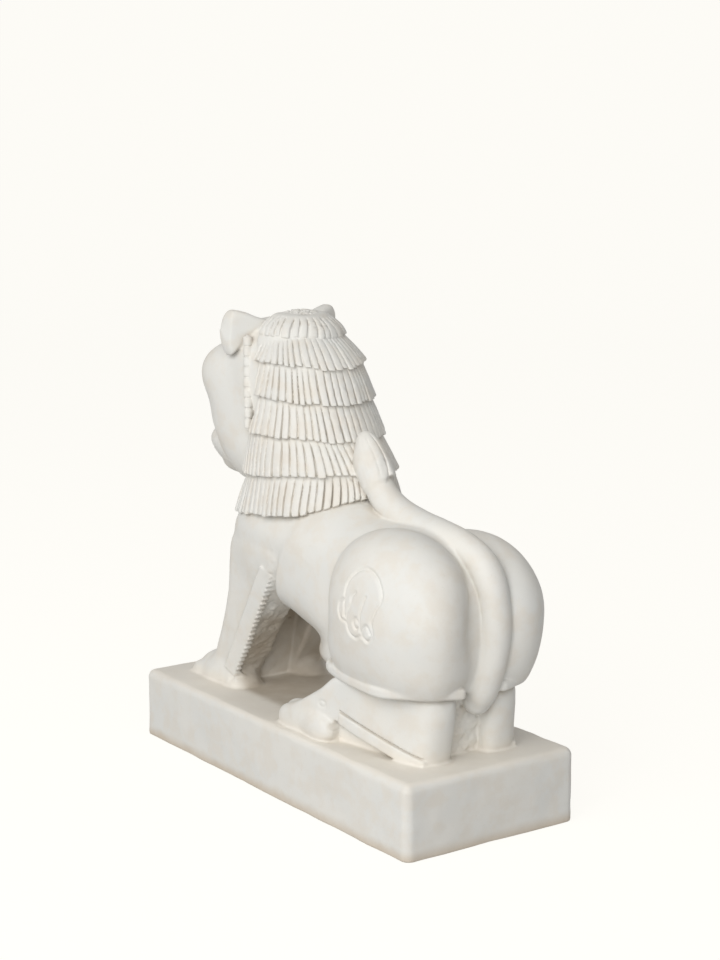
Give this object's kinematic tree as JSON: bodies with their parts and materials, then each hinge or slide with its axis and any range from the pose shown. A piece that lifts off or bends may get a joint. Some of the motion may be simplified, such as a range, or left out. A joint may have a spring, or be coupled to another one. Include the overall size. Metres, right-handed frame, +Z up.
{
  "type": "stone shardul statue",
  "caption": "Carved white marble guardian lion crouching on its own rectangular plinth, with a tiered mane and a tail laid up along its back; stands free by its own weight.",
  "frame": {"origin": "middle of the underside of the plinth", "axes": "+Z up; the lion looks along -Y; +X is the lion's left"},
  "size_m": [0.276, 0.66, 0.647],
  "materials": {
    "white_marble": "hand-rubbed white marble, dull, with beige grime in the hollows and along the foot of the plinth"
  },
  "bodies": {
    "root": {"shardul_statue": "white_marble"}
  },
  "joints": []
}
